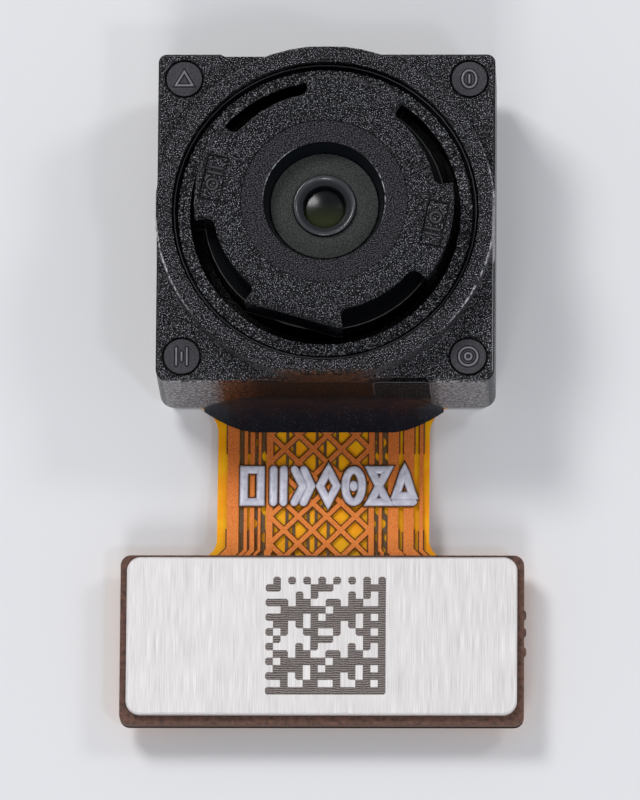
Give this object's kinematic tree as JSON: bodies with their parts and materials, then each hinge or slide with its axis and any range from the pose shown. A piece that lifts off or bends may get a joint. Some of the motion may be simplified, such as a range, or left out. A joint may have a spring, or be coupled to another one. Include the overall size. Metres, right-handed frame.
{
  "type": "camera module",
  "caption": "Fixed-focus camera module: moulded square lens holder with a lugged barrel, sensor board and back plate, and a flexible printed tail with a plated connector tab",
  "frame": {"origin": "on the optical axis, in the back face of the metal back plate", "axes": "+Z is the optical axis towards the scene, +Y points away from the tail and the connector tab, X runs across the tail"},
  "size_m": [0.0079, 0.0128, 0.0042],
  "materials": {
    "holder_plastic": "fine sparkling grain",
    "barrel_plastic": "fine sparkling grain",
    "baffle_sheet": "flat grey-green",
    "lens_resin": "polished, coated",
    "spacer_sheet": "blackened",
    "filter_glass": "polished, faint blue",
    "clear_adhesive": "cured resin",
    "silicon": "polished die",
    "gold": "bright gold",
    "chip_ceramic": "fired ceramic",
    "board_laminate": "solder mask over laminate",
    "dark_adhesive": "cured resin",
    "back_steel": "rolled sheet",
    "amber_film": "polyimide film",
    "core_film": "clear amber film",
    "clear_film": "clear amber film",
    "track_copper": "dull copper seen through film",
    "shield_copper": "rolled copper",
    "sealant_resin": "smooth dark resin",
    "tab_laminate": "brown laminate",
    "plate_steel": "bright brushed sheet",
    "connector_plastic": "moulded",
    "tinned_metal": "tin plate"
  },
  "bodies": {
    "root": {"lens_holder": "holder_plastic", "lens_barrel": "barrel_plastic", "front_baffle": "baffle_sheet", "lens_element_1": "lens_resin", "lens_element_2": "lens_resin", "lens_element_3": "lens_resin", "lens_element_4": "lens_resin", "spacer_sheet_1": "spacer_sheet", "spacer_sheet_2": "spacer_sheet", "spacer_ring": "spacer_sheet", "lens_retainer": "spacer_sheet", "infrared_filter": "filter_glass", "filter_adhesive": "clear_adhesive", "image_sensor": "silicon", "die_adhesive": "clear_adhesive", "bond_wires": "gold", "chip_capacitors": "chip_ceramic", "sensor_board": "board_laminate", "holder_adhesive": "dark_adhesive", "back_plate": "back_steel", "back_plate_adhesive": "clear_adhesive", "tail_bottom_film": "amber_film", "tail_signal_copper": "track_copper", "tail_core_film": "core_film", "tail_shield_copper": "shield_copper", "tail_top_film": "clear_film", "edge_sealant": "sealant_resin", "tab_board": "tab_laminate", "tab_plate_adhesive": "clear_adhesive", "tab_plate": "plate_steel", "connector_housing": "connector_plastic", "connector_contacts": "gold", "connector_anchors": "tinned_metal"}
  },
  "joints": []
}
